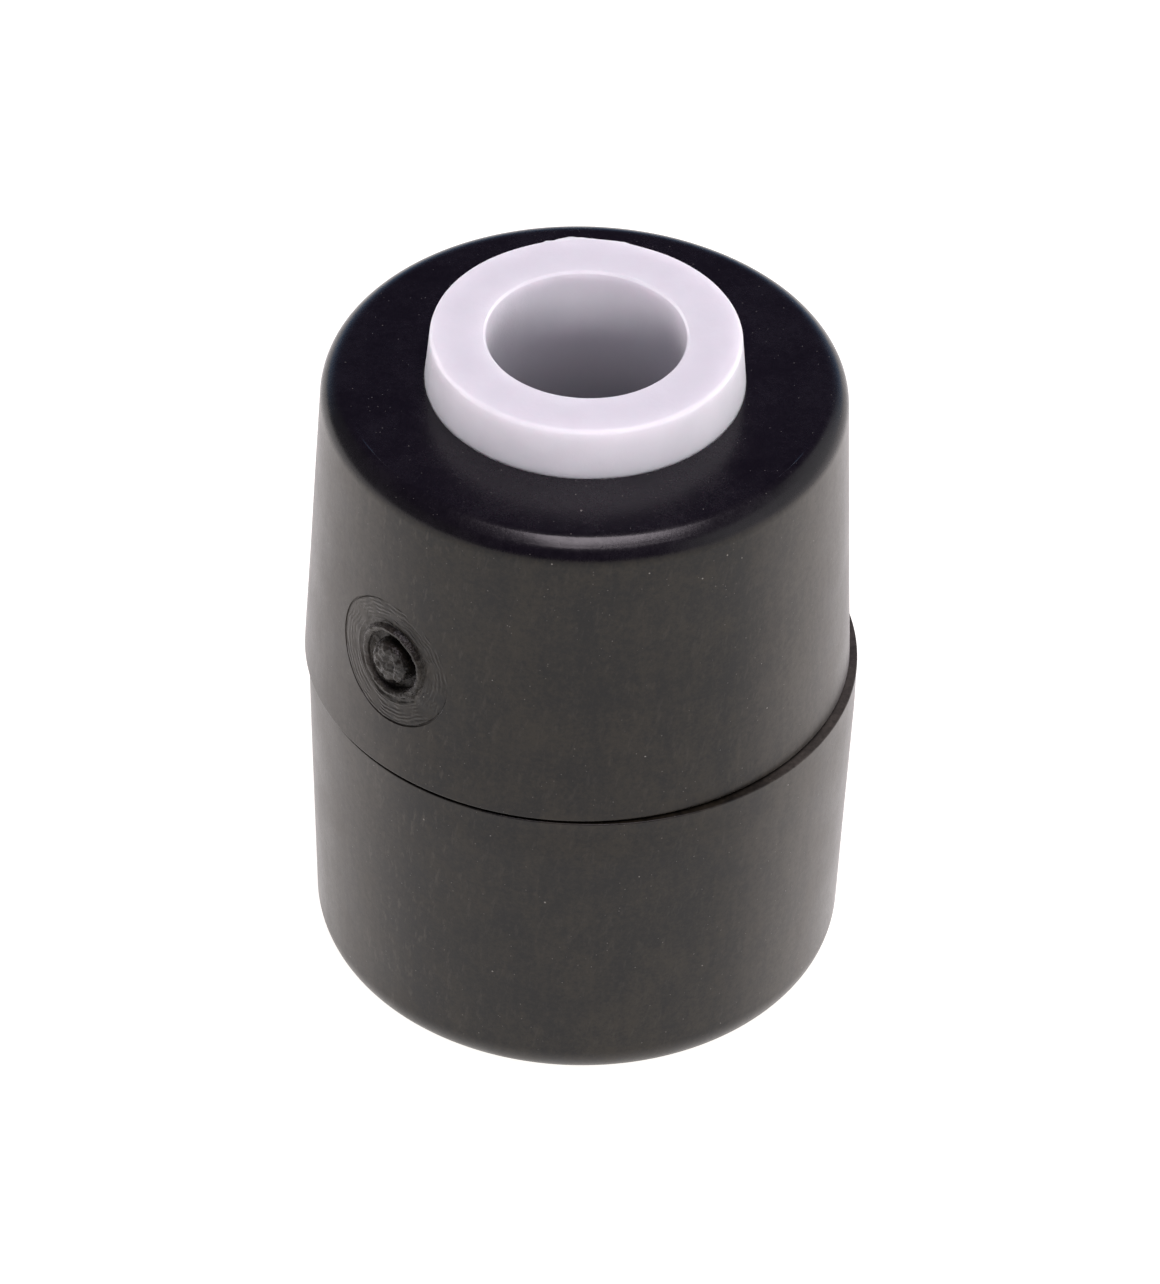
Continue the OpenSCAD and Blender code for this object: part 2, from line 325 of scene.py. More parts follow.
def steelFinish(name, colour, rough, brushScale):
    material, graph, shader = newFinish(name, Metallic=1.0)
    brush = graph.grain(graph.place(stretch=(1, 14, 1)), brushScale, 4.0, 0.6)
    stain = graph.grain(graph.place(), 0.8, 3.0, 0.5)
    dark = [value * 0.72 for value in colour]
    base = graph.mix(graph.blend(brush * 0.6 + stain * 0.4, 0.3, 0.7), dark, colour)
    level = graph.blend(brush * 0.7 + stain * 0.3, 0.3, 0.7, rough - 0.08, rough + 0.12)
    connect(graph, shader, Base_Color=base, Roughness=level, Normal=graph.bump(brush, 0.008, 0.6))
    return material


def mouldedFinish(name, colour, rough):
    material, graph, shader = newFinish(name, IOR=1.48)
    spot = graph.place()
    cloud = graph.grain(spot, 0.7, 3.0, 0.5)
    fine = graph.grain(spot, 9.0, 4.0, 0.6)
    dark = [value * 0.85 for value in colour]
    base = graph.mix(graph.blend(cloud * 0.6 + fine * 0.4, 0.3, 0.7), dark, colour)
    level = graph.blend(fine, 0.3, 0.7, rough - 0.06, rough + 0.08)
    connect(graph, shader, Base_Color=base, Roughness=level, Normal=graph.bump(fine, 0.015, 0.5))
    return material


finishes = {
    "upperRubber": rubberFinish("black rubber, upper", True),
    "lowerRubber": rubberFinish("black rubber, lower", False),
    "nylon": nylonFinish(),
    "felt": feltFinish(),
    "springSteel": steelFinish("rolled spring steel", (0.60, 0.60, 0.61), 0.28, 10.0),
    "plateSteel": steelFinish("punched plate steel", (0.55, 0.55, 0.56), 0.36, 7.0),
    "wire": steelFinish("drawn wire", (0.52, 0.52, 0.51), 0.33, 12.0),
    "tubePlastic": mouldedFinish("natural tube plastic", (0.72, 0.71, 0.66), 0.42),
    "spacerPlastic": mouldedFinish("dark spacer plastic", (0.075, 0.075, 0.08), 0.5),
    "sealRubber": mouldedFinish("seal rubber", (0.022, 0.022, 0.023), 0.46),
}
print("finishes made:", len(finishes))


def roundedOutline(corners, nudge=0.03):
    # corners as (radius, height, edge radius); a support point stands beside each rounded edge
    outline = []
    for i, (r, z, edge) in enumerate(corners):
        corner = Vector((r, z))
        if not edge:
            outline.append(corner)
            continue
        before = (Vector(corners[i - 1][:2]) - corner).normalized()
        after = (Vector(corners[(i + 1) % len(corners)][:2]) - corner).normalized()
        half = before.angle(after) / 2
        centre = corner + (before + after).normalized() * (edge / math.sin(half))
        reach = edge / math.tan(half)
        arm = corner + before * reach - centre
        steps = max(4, round(edge * 14))
        turn = math.copysign(math.pi - 2 * half, before.x * after.y - before.y * after.x)
        outline.append(corner + before * (reach + nudge))
        for step in range(steps + 1):
            outline.append(centre + Matrix.Rotation(-turn * step / steps, 2) @ arm)
        outline.append(corner + after * (reach + nudge))
    return outline


def withRows(outline, step, wanted=lambda first, second: True):
    # adds rows along the longer stretches of an outline
    rows = []
    for i, point in enumerate(outline):
        following = outline[(i + 1) % len(outline)]
        rows.append(point)
        count = round((following - point).length / step)
        if count > 1 and wanted(point, following):
            rows += [point.lerp(following, k / count) for k in range(1, count)]
    return rows


def newPiece(name, mesh, finish, replaced, sharpAngle=34):
    mesh.materials.clear()
    mesh.materials.append(finish)
    for polygon in mesh.polygons:
        polygon.use_smooth = True
    mesh.set_sharp_from_angle(angle=math.radians(sharpAngle))
    piece = bpy.data.objects.new(name, mesh)
    bpy.context.scene.collection.objects.link(piece)
    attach(piece, "root")
    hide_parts(replaced)


def meshFrom(bm, name):
    # welds poles, drops what collapsed and turns every face outwards
    bmesh.ops.remove_doubles(bm, verts=bm.verts, dist=0.0005)
    bmesh.ops.dissolve_degenerate(bm, edges=bm.edges, dist=0.0004)
    bmesh.ops.recalc_face_normals(bm, faces=bm.faces)
    mesh = bpy.data.meshes.new(name)
    bmesh.ops.scale(bm, vec=(mm, mm, mm), verts=bm.verts)
    bm.to_mesh(mesh)
    bm.free()
    return mesh


def turned(outline, columns, shape=None, start=0.0, skip=None):
    # spins a closed outline round the axis; shape may move a point, skip leaves faces out
    bm = bmesh.new()
    grid = []
    for r, z in outline:
        row = []
        for j in range(columns):
            angle = start + 2 * math.pi * j / columns
            point = Vector((r * math.cos(angle), r * math.sin(angle), z))
            row.append(bm.verts.new(shape(point, r, z, angle) if shape else point))
        grid.append(row)
    for i in range(len(outline)):
        below, above = grid[i], grid[(i + 1) % len(outline)]
        if outline[i][0] == 0 and outline[(i + 1) % len(outline)][0] == 0:
            continue
        for j in range(columns):
            k = (j + 1) % columns
            if skip and skip(i, j):
                continue
            bm.faces.new((below[j], below[k], above[k], above[j]))
    return bm, grid


def around(angle, table):
    # value between (degrees, value) pairs, clockwise from +X seen from above
    degrees = -math.degrees(angle) % 360
    for (first, low), (second, high) in zip(table, table[1:]):
        if first <= degrees <= second:
            return low + (high - low) * ease(degrees, first, second)
    return 0.0


def ease(value, low, high):
    part = min(max((value - low) / (high - low), 0), 1)
    return part * part * (3 - 2 * part)


seamGap = 0.12  # the halves stand this far apart at the outside of the seam

upperHousing = {
    "edgeR": 1.15,
    "seamEdgeR": 0.07,
    "spigotH": 1.8,
    "spigotR": body["cavityR"] + 1.3,
    "sealPocketR": 8.55,
    "sealPocketH": 1.2,
    "columns": 288,
    "rowStep": 0.27,
    "wave": 0.018,
    # the top edge sags and swells a little on the -Y side
    "frontSag": 0.15,
    "frontSwell": 0.15,
    # how far the seam's edge is drawn in, round the body
    "seamDrawIn": [(0, 0), (14, 0.02), (30, 0.04), (60, 0.02), (84, 0), (360, 0)],
}


def upperPoint(point, r, z, angle):
    if z < body["seamZ"] - 0.01 or (r < upperHousing["spigotR"] + 0.3 and z < body["topZ"] - 0.01):
        return point
    outward = Vector((math.cos(angle), math.sin(angle), 0))
    front = max(0, -math.sin(angle)) ** 1.5
    swell = front * upperHousing["frontSwell"] * ease(z, 25, 31) * ease(r, 9, 11.5)
    sag = front * upperHousing["frontSag"] * ease(z, 25, 31) * ease(r, body["neckHoleR"], 11.5)
    point = point + outward * swell - Vector((0, 0, sag))
    if r < upperHousing["spigotR"] + 0.3:
        return point
    low = around(angle, upperHousing["seamDrawIn"]) * (1 - ease(z, body["seamZ"], body["seamZ"] + 0.25))
    wave = noise.noise(point * 0.16) * upperHousing["wave"] * ease(z, body["seamZ"], body["seamZ"] + 2)
    return point + outward * (wave - low)


def onWall(u, v, depth):
    # a point of the gate mark: u round the wall, v up it, depth into it
    r = gateWallR - v * math.sin(upperSlope)
    sag = r - math.sqrt(r * r - u * u)
    return gateCentre + gateFrame @ Vector((-v, u, -sag - depth))


def gateRings():
    # (radius, depth) from the insert's edge in to the pip
    lip, groove, pip, deep = gate["lipR"], gate["grooveR"], gate["pipR"], gate["grooveDepth"]
    insert = gate["insertR"]
    rings = [(insert + 0.12, 0), (insert + 0.02, 0), (insert - 0.01, 0.07), (insert - 0.05, 0.09)]
    rings += [(insert - 0.09, 0.045), (insert - 0.2, 0.05), (2.8, 0.06), (2.5, 0.08), (2.3, 0.10)]
    rings += [(2.2, 0.07)]
    rings += [(2.1, 0.13), (lip + 0.12, 0.16), (lip + 0.05, 0.19), (lip, 0.15), (lip - 0.04, 0.03)]
    rings += [(lip - 0.09, -0.04), (lip - 0.15, -0.05), (lip - 0.22, -0.02), (groove + 0.07, 0.03)]
    rings += [(groove + 0.03, 0.07), (groove, 0.2), (groove - 0.02, deep - 0.08), (groove - 0.06, deep)]
    rings += [(pip + 0.12, deep), (pip + 0.08, deep - 0.1), (pip + 0.04, 0.35), (pip + 0.02, 0.05)]
    rings += [(pip - 0.02, -0.08), (pip - 0.08, -0.14)]
    return rings + [(pip * k / 12, -0.17) for k in range(10, 0, -1)]


def makeUpperHousing():
    s = upperHousing
    topR = body["seamR"] - (body["topZ"] - body["seamZ"]) * math.tan(upperSlope)
    spigotZ = body["seamZ"] - s["spigotH"]
    pocketZ = body["ceilingZ"] + s["sealPocketH"]
    outline = roundedOutline([
        (body["seamR"] - 0.7, body["seamZ"], 0),
        (body["seamR"] - 0.66, body["seamZ"] + seamGap / 2, 0),
        (body["seamR"] - 0.003, body["seamZ"] + seamGap / 2, s["seamEdgeR"]),
        (topR, body["topZ"], s["edgeR"]),
        (body["neckHoleR"], body["topZ"], 0.05),
        (body["neckHoleR"], pocketZ, 0),
        (s["sealPocketR"], pocketZ, 0),
        (s["sealPocketR"], body["ceilingZ"], 0.06),
        (body["cavityR"], body["ceilingZ"], 0.15),
        (body["cavityR"], spigotZ, 0.06),
        (s["spigotR"], spigotZ, 0.12),
        (s["spigotR"], body["seamZ"], 0),
    ])
    rows = withRows(outline, s["rowStep"], lambda a, b: min(a.x, b.x) > s["spigotR"] + 0.5)
    rows = withRows(rows, 1.6)
    wall = [i for i, p in enumerate(rows) if p.x > 12.07 and abs(p.y - gate["z"]) < gate["insertR"] + 0.5]
    firstRow, lastRow = wall[0], wall[-1]
    side = math.ceil((gate["insertR"] + 0.5) / (2 * math.pi * gateWallR / s["columns"]))

    def skip(i, j):
        return firstRow <= i < lastRow and (j < side or j >= s["columns"] - side)

    bm, grid = turned(rows, s["columns"], upperPoint, gateTurn, skip)
    # the opening's own edge, once round
    edge = [grid[firstRow][j] for j in range(-side, side)]
    edge += [grid[i][side] for i in range(firstRow, lastRow)]
    edge += [grid[lastRow][j] for j in range(side, -side, -1)]
    edge += [grid[i][-side] for i in range(lastRow, firstRow, -1)]
    count = len(edge)
    angles = []
    for vert in edge:
        local = gateFrame.transposed() @ (vert.co - gateCentre)
        angles.append(math.atan2(-local.x, local.y))
    before = edge
    for step, (radius, depth) in enumerate(gateRings()):
        ring = []
        for k in range(count):
            angle = angles[k]
            u, v = radius * math.cos(angle), radius * math.sin(angle)
            sunk = depth
            if gate["lipR"] < radius < gate["insertR"] - 0.06:
                sunk += 0.035 * (u + v) / gate["insertR"] + 0.03 * noise.noise(Vector((u * 2, v * 2, 6)))
            if radius < gate["pipR"] - 0.02:
                rough = noise.noise(Vector((u * 1.8, v * 1.8, 3.1)))
                rough += noise.noise(Vector((u * 4.5, v * 4.5, 9))) * 0.6
                sunk += 0.16 * rough + 0.05 * (radius / gate["pipR"]) ** 4
            elif radius <= gate["pipR"]:
                sunk += 0.05 * noise.noise(Vector((u * 4, v * 4, 1.7)))
            elif radius < gate["grooveR"] - 0.005:
                # the groove is deepest towards the right and shallow on the left
                sunk *= 0.62 + 0.38 * math.cos(angle - 0.45) + 0.12 * noise.noise(Vector((u * 2, v * 2, 5)))
            elif radius < gate["lipR"] + 0.05:
                sunk += 0.05 * noise.noise(Vector((u * 3, v * 3, 8.2)))
            ring.append(bm.verts.new(onWall(u, v, sunk)))
        for k in range(count):
            after = (k + 1) % count
            bm.faces.new((before[k], before[after], ring[after], ring[k]))
        before = ring
    hub = bm.verts.new(onWall(0, 0, -0.19))
    for k in range(count):
        bm.faces.new((before[k], before[(k + 1) % count], hub))
    mesh = meshFrom(bm, "upperHousing")
    newPiece("upperHousing", mesh, finishes["upperRubber"], "upper_housing")


lowerHousing = {
    "baseEdgeR": 2.0,
    "seamEdgeR": 0.05,
    "baseWall": 2.4,
    "rebateR": upperHousing["spigotR"] + 0.05,
    "rebateH": 1.9,
    "columns": 288,
    "rowStep": 0.5,
    "wave": 0.018,
    "portR": 1.3,
    "portEdge": 0.18,
    "outerPorts": 12,
    "outerRing": 7.611,
    # how far the seam's edge stands out, round the body
    "seamFlare": [(0, -0.05), (16, -0.03), (40, -0.01), (60, -0.05), (75, -0.10), (90, -0.14), (110, -0.08),
                  (135, 0), (330, 0), (360, -0.05)],
}


def lowerPoint(point, r, z, angle):
    s = lowerHousing
    if r < s["rebateR"] + 0.7 and z > s["baseEdgeR"] + 0.2:
        return point
    outward = Vector((math.cos(angle), math.sin(angle), 0))
    flare = around(angle, s["seamFlare"]) * ease(z, body["seamZ"] - 2.5, body["seamZ"])
    wave = noise.noise(point * 0.15 + Vector((7, 3, 1))) * s["wave"] * ease(z, 0.3, 2.5)
    wave *= 1 - ease(z, body["seamZ"] - 1.5, body["seamZ"])
    middle = Vector((*body["lowerMiddle"], 0)) * min(1, r / 2)
    return point + middle + outward * (wave + flare)


def portCutter():
    # one port with flared ends, to be cut out of the base
    s = lowerHousing
    low = -0.5
    high = s["baseWall"] + 0.5
    edge = s["portEdge"]
    wide = s["portR"] + edge
    arc = [math.pi / 2 * step / 4 for step in range(5)]
    outline = [Vector((0, low)), Vector((wide, low))]
    outline += [Vector((wide - edge * math.sin(turn), edge - edge * math.cos(turn))) for turn in arc]
    top = s["baseWall"] - edge
    outline += [Vector((wide - edge * math.cos(turn), top + edge * math.sin(turn))) for turn in arc]
    outline += [Vector((wide, high)), Vector((0, high))]
    return meshFrom(turned(outline, 40)[0], "portCutter")


socketKinds = {
    int: "NodeSocketInt",
    float: "NodeSocketFloat",
    bpy.types.Object: "NodeSocketObject",
    bpy.types.Material: "NodeSocketMaterial",
}


def growWith(name, mesh, buildTree, settings):
    # runs a geometry nodes tree on a mesh and returns the plain result
    tree = bpy.data.node_groups.new(name, "GeometryNodeTree")
    tree.interface.new_socket("Geometry", in_out="INPUT", socket_type="NodeSocketGeometry")
    for key, value in settings.items():
        kind = socketKinds[type(value)]
        tree.interface.new_socket(key, in_out="INPUT", socket_type=kind)
    tree.interface.new_socket("Geometry", in_out="OUTPUT", socket_type="NodeSocketGeometry")
    graph = Graph(tree)
    given = graph.add("NodeGroupInput")
    made = buildTree(graph, given)
    made = graph.add("GeometryNodeRealizeInstances", None, {"Geometry": made})
    made = graph.add("GeometryNodeSetMaterial", None, {"Geometry": made, "Material": given.out("Finish")})
    tree.links.new(made.socket, tree.nodes.new("NodeGroupOutput").inputs[0])
    holder = bpy.data.objects.new(name, mesh)
    bpy.context.scene.collection.objects.link(holder)
    modifier = holder.modifiers.new(name, "NODES")
    modifier.node_group = tree
    for item in tree.interface.items_tree:
        if item.in_out == "INPUT" and item.name in settings:
            modifier[item.identifier] = settings[item.name]
    seen = holder.evaluated_get(bpy.context.evaluated_depsgraph_get())
    result = bpy.data.meshes.new_from_object(seen)
    bpy.data.objects.remove(holder)
    return result


def ringOfPoints(graph, count, radius):
    return graph.add("GeometryNodeMeshCircle", {"fill_type": "NONE"}, {"Vertices": count, "Radius": radius})


def cutAway(graph, given, cutters):
    return graph.add("GeometryNodeMeshBoolean", {"operation": "DIFFERENCE", "solver": "MANIFOLD"},
                     {"Mesh 1": given.out("Geometry"), "Mesh 2": cutters}, "Mesh")


def portTree(graph, given):
    cutter = graph.add("GeometryNodeObjectInfo", None, {"Object": given.out("Cutter")}, "Geometry")
    rings = []
    for count, radius in (("Outer Ports", "Outer Ring"), ("Inner Ports", "Inner Ring")):
        points = ringOfPoints(graph, given.out(count), given.out(radius))
        values = {"Points": points, "Instance": cutter}
        rings.append(graph.add("GeometryNodeInstanceOnPoints", None, values))
    return cutAway(graph, given, graph.join(*rings))


def makeLowerHousing():
    s = lowerHousing
    baseR = body["lowerR"] - body["seamZ"] * math.tan(math.radians(body["lowerDraft"]))
    rebateZ = body["seamZ"] - s["rebateH"]
    outline = roundedOutline([
        (0, 0, 0),
        (baseR, 0, s["baseEdgeR"]),
        (body["lowerR"] - 0.003, body["seamZ"] - seamGap / 2, s["seamEdgeR"]),
        (body["lowerR"] - 0.96, body["seamZ"] - seamGap / 2, 0),
        (body["lowerR"] - 1.0, body["seamZ"], 0),
        (s["rebateR"], body["seamZ"], 0),
        (s["rebateR"], rebateZ, 0.05),
        (body["cavityR"], rebateZ, 0.06),
        (body["cavityR"], s["baseWall"], 0.15),
        (0, s["baseWall"], 0),
    ])
    rows = withRows(outline, s["rowStep"], lambda a, b: min(a.x, b.x) > s["rebateR"] + 0.2)
    rows = withRows(rows, 2.0, lambda a, b: max(a.x, b.x) > body["cavityR"] - 0.2)
    mesh = meshFrom(turned(rows, s["columns"], lowerPoint)[0], "lowerHousing")
    cutter = bpy.data.objects.new("portCutter", portCutter())
    bpy.context.scene.collection.objects.link(cutter)
    settings = {
        "Cutter": cutter,
        "Outer Ports": s["outerPorts"],
        "Inner Ports": s["outerPorts"] // 2,
        "Outer Ring": s["outerRing"] * mm,
        "Inner Ring": s["outerRing"] / 2 * mm,
        "Finish": finishes["lowerRubber"],
    }
    mesh = growWith("lowerPorts", mesh, portTree, settings)
    bpy.data.objects.remove(cutter)
    mesh.name = "lowerHousing"
    newPiece("lowerHousing", mesh, finishes["lowerRubber"], "lower_housing")


inletSleeve = {
    "columns": 256,
    "neckR": 7.3,
    "rootR": 7.35,
    "topR": 7.13,
    "flangeZ": 28.0,
    "stopZ": 25.25,
    "lip": 0.8,
    "chamfer": 0.1,
    "edgeR": 0.2,
    "socketR": 6.05,
    "flashFrom": -22.0,
    "flashTo": 25.0,
    "flashPeak": 0.46,
}


def sleevePoint(point, r, z, angle):
    s = inletSleeve
    if z < body["topZ"] - 0.01:
        return point
    outward = Vector((math.cos(angle), math.sin(angle), 0))
    # a torn lip of flash at the back of the rim, counted in degrees from +Y towards -X
    turn = math.degrees(angle) - 90
    move = 0.0
    if s["flashFrom"] < turn < s["flashTo"] and r > s["topR"] - 0.3:
        rise = ease(turn, s["flashFrom"], s["flashFrom"] + 10)
        span = rise * (1 - ease(turn, s["flashTo"] - 12, s["flashTo"]))
        hump = math.exp(-((turn - 6) / 5) ** 2)
        ragged = 0.55 + 0.45 * hump + 0.25 * noise.noise(Vector((turn * 0.35, 4, 0)))
        near = math.exp(-((z - sleeveHigh.z + 0.28) / 0.17) ** 2)
        move = s["flashPeak"] * span * ragged * near
    wave = noise.noise(point * 0.35) * 0.012
    lift = noise.noise(point * 0.5 + Vector((3, 3, 3))) * 0.012 if z > sleeveHigh.z - 0.3 else 0
    return point + outward * (move + wave) + Vector((0, 0, min(0, lift - 0.008)))


def makeInletSleeve():
    s = inletSleeve
    top, bottom = sleeveHigh.z, sleeveLow.z
    lipR, lipZ = body["boreR"] - s["lip"], s["stopZ"] - s["lip"]
    outline = roundedOutline([
        (s["neckR"], bottom, 0.1),
        (s["neckR"], s["flangeZ"], 0.1),
        (sleeveHigh.x, s["flangeZ"], 0.15),
        (sleeveHigh.x, body["ceilingZ"], 0.15),
        (s["neckR"], body["ceilingZ"], 0),
        (s["neckR"], body["topZ"], 0),
        (s["rootR"], body["topZ"], 0),
        (s["topR"], top, s["edgeR"]),
        (body["boreR"] + s["chamfer"], top, 0.05),
        (body["boreR"], top - s["chamfer"], 0.05),
        (body["boreR"], s["stopZ"], 0.1),
        (lipR, s["stopZ"], 0.08),
        (lipR, lipZ, 0.08),
        (s["socketR"], lipZ, 0.05),
        (s["socketR"], bottom, 0.1),
    ], 0.02)
    rows = withRows(outline, 0.22, lambda a, b: min(a.y, b.y) > body["topZ"] - 0.001)
    rows = withRows(rows, 1.0)
    mesh = meshFrom(turned(rows, s["columns"], sleevePoint)[0], "inletSleeve")
    newPiece("inletSleeve", mesh, finishes["nylon"], "inlet_sleeve")


packing = {
    "edgeR": 0.45,
    "columns": 120,
    "rowStep": 0.45,
    "fuzz": 0.05,
    "neckBoreR": 7.45,
    "gauzeBoreR": 6.45,
}


def feltPiece(name, node, innerR):
    # a pressed felt ring or disc with soft, slightly uneven edges inside its node's box
    low, high = boxOf(node)
    outerR = high.x
    edge = min(packing["edgeR"], (high.z - low.z) * 0.3)
    corners = [(innerR, low.z, edge if innerR else 0), (outerR, low.z, edge),
               (outerR, high.z, edge), (innerR, high.z, edge if innerR else 0)]
    rows = withRows(roundedOutline(corners, 0.02), packing["rowStep"],
                    lambda a, b: max(a.x, b.x) > 0)

    def soft(point, r, z, angle):
        depth = 0.5 + 0.5 * noise.noise(point * 1.4) + 0.3 * noise.noise(point * 4)
        middle = Vector(((innerR + outerR) / 2 * math.cos(angle), (innerR + outerR) / 2 * math.sin(angle),
                         (low.z + high.z) / 2))
        inward = middle - point if innerR else Vector((-point.x, -point.y, (middle.z - z) * 3)) * 0.3
        if inward.length < 0.001 or (not innerR and r < 0.01):
            return point + Vector((0, 0, -0.03 if z > middle.z else 0.03))
        return point + inward.normalized() * packing["fuzz"] * max(0, depth)

    mesh = meshFrom(turned(rows, packing["columns"], soft)[0], name)
    newPiece(name, mesh, finishes["felt"], node, 60)


diffuser = {
    "columns": 160,
    "rowStep": 1.2,
    "wall": 1.1,
    "holeR": 0.8,
    "rows": 5,
    "holes": 8,
    "plugGrip": 1.6,
    "neckZ": 22.05,
    "wireR": 0.058,
    "wireMesh": 92,
    "wireRows": 34,
}


def holeTree(graph, given):
    # spokes through the tube, every other row turned by half a step
    spokes = given.out("Spokes")
    line = {"Count": given.out("Rows") * spokes, "Start Location": (0, 0, 0), "Offset": (0, 0, 0)}
    points = graph.add("GeometryNodeMeshLine", None, line)
    index = graph.add("GeometryNodeInputIndex")
    row = index.math("FLOOR", (index + 0.5) / spokes)
    column = index - row * spokes
    turn = (column + row.math("MODULO", row, 2) * 0.5) * math.pi / spokes
    height = given.out("First Z") + row * given.out("Row Pitch")
    spot = graph.add("ShaderNodeCombineXYZ", None, (0.0, 0.0, height))
    points = graph.add("GeometryNodeSetPosition", None, {"Geometry": points, "Position": spot})
    rod = {"Vertices": 32, "Radius": given.out("Hole Radius"), "Depth": given.out("Reach")}
    rod = graph.add("GeometryNodeMeshCylinder", None, rod, "Mesh")
    tilt = graph.add("ShaderNodeCombineXYZ", None, (math.pi / 2, 0.0, turn))
    rods = {"Points": points, "Instance": rod, "Rotation": tilt}
    return cutAway(graph, given, graph.add("GeometryNodeInstanceOnPoints", None, rods))


def makeDiffuserTube():
    s = diffuser
    low, high = boxOf("diffuser_tube")
    outerR = high.x
    innerR = outerR - s["wall"]
    outline = roundedOutline([(innerR, low.z, 0.12), (outerR, low.z, 0.12), (outerR, high.z, 0.2),
                              (innerR, high.z, 0.2)], 0.02)
    tube = meshFrom(turned(withRows(outline, s["rowStep"]), s["columns"])[0], "tube")
    firstZ = low.z + s["plugGrip"] + 2 * s["holeR"]
    pitch = (s["neckZ"] - 2 * s["holeR"] - firstZ) / (s["rows"] - 1)
    settings = {
        "Spokes": s["holes"] // 2,
        "Rows": s["rows"],
        "First Z": firstZ * mm,
        "Row Pitch": pitch * mm,
        "Hole Radius": s["holeR"] * mm,
        "Reach": (outerR + 1) * 2 * mm,
        "Finish": finishes["tubePlastic"],
    }
    mesh = growWith("tubeHoles", tube, holeTree, settings)
    newPiece("diffuserTube", mesh, finishes["tubePlastic"], "diffuser_tube")


def gauzeTree(graph, given):
    # upright wires and hoops that pass over and under each other
    radius, wireR = given.out("Radius"), given.out("Wire Radius")
    pitch = given.out("Height") / (given.out("Hoops") - 1)
    profile = graph.add("GeometryNodeCurvePrimitiveCircle", None, {"Resolution": 4, "Radius": wireR}, "Curve")
    column = graph.add("ShaderNodeCombineXYZ", None, (0.0, 0.0, given.out("Height")))
    upright = graph.add("GeometryNodeCurvePrimitiveLine", None, {"Start": (0, 0, 0), "End": column}, "Curve")
    upright = graph.add("GeometryNodeResampleCurve", None,
                        {"Curve": upright, "Count": given.out("Hoops") * 2 - 1})
    feet = ringOfPoints(graph, given.out("Uprights"), radius)
    uprights = graph.add("GeometryNodeInstanceOnPoints", None, {"Points": feet, "Instance": upright})
    hoop = graph.add("GeometryNodeCurvePrimitiveCircle", None,
                     {"Resolution": given.out("Uprights") * 2, "Radius": radius}, "Curve")
    levels = graph.add("ShaderNodeCombineXYZ", None, (0.0, 0.0, pitch))
    stack = graph.add("GeometryNodeMeshLine", None,
                      {"Count": given.out("Hoops"), "Start Location": (0, 0, 0), "Offset": levels})
    hoops = graph.add("GeometryNodeInstanceOnPoints", None, {"Points": stack, "Instance": hoop})
    spot = graph.add("GeometryNodeInputPosition")
    x, y, z = graph.apart(spot)
    angle = y.math("ARCTAN2", y, x)
    phase = z.math("COSINE", z / pitch * math.pi) * angle.math("COSINE", angle * given.out("Uprights") / 2)
    flat = graph.add("ShaderNodeCombineXYZ", None, (x, y, 0.0))
    outward = graph.add("ShaderNodeVectorMath", {"operation": "NORMALIZE"}, (flat,))
    sheets = []
    for wires, side in ((uprights, 1.0), (hoops, -1.0)):
        real = graph.add("GeometryNodeRealizeInstances", None, {"Geometry": wires})
        push = {0: outward, "Scale": phase * wireR * side}
        push = graph.add("ShaderNodeVectorMath", {"operation": "SCALE"}, push)
        real = graph.add("GeometryNodeSetPosition", None, {"Geometry": real, "Offset": push})
        sheets.append(graph.add("GeometryNodeCurveToMesh", None,
                                {"Curve": real, "Profile Curve": profile, "Fill Caps": True}))
    joined = graph.join(*sheets)
    lift = graph.add("ShaderNodeCombineXYZ", None, (0.0, 0.0, given.out("Bottom")))
    return graph.add("GeometryNodeTransform", None, {"Geometry": joined, "Translation": lift})


def makeGauze():
    s = diffuser
    low, high = boxOf("diffuser_gauze")
    settings = {
        "Radius": (high.x - 2.1 * s["wireR"]) * mm,
        "Wire Radius": s["wireR"] * mm,
        "Height": (high.z - low.z - 2.2 * s["wireR"]) * mm,
        "Bottom": (low.z + 1.1 * s["wireR"]) * mm,
        "Uprights": s["wireMesh"],
        "Hoops": s["wireRows"],
        "Finish": finishes["wire"],
    }
    mesh = growWith("gauzeWeave", bpy.data.meshes.new("empty"), gauzeTree, settings)
    newPiece("diffuserGauze", mesh, finishes["wire"], "diffuser_gauze", 80)


makeUpperHousing()
print("upper housing made")
makeLowerHousing()
print("lower housing made")
makeInletSleeve()
print("sleeve made")
makeDiffuserTube()
makeGauze()
print("diffuser made")
feltPiece("feltRing1", "felt_ring_1", packing["neckBoreR"])
for number in (2, 3, 4):
    feltPiece(f"feltRing{number}", f"felt_ring_{number}", packing["gauzeBoreR"])
feltPiece("exhaustFilter", "exhaust_filter", 0)
print("felt packing made")

keptFinishes = {
    "sleeve_seal": "sealRubber",
    "sleeve_retainer": "springSteel",
    "diffuser_plug": "tubePlastic",
    "packing_baffle": "plateSteel",
    "spacer_ring": "spacerPlastic",
    "exhaust_screen": "plateSteel",
}
for name, finish in keptFinishes.items():
    for slot in nodes[name].material_slots:
        slot.material = finishes[finish]
print("kept nodes finished:", len(keptFinishes))


view = {
    "aim": (0, 0, 16.5),
    "elevation": 39.74,
    "distance": 508,
    "roll": 0.0296,
    "lens": 305.7,
    "sensor": 36,
    "shiftX": 0.00207,
}


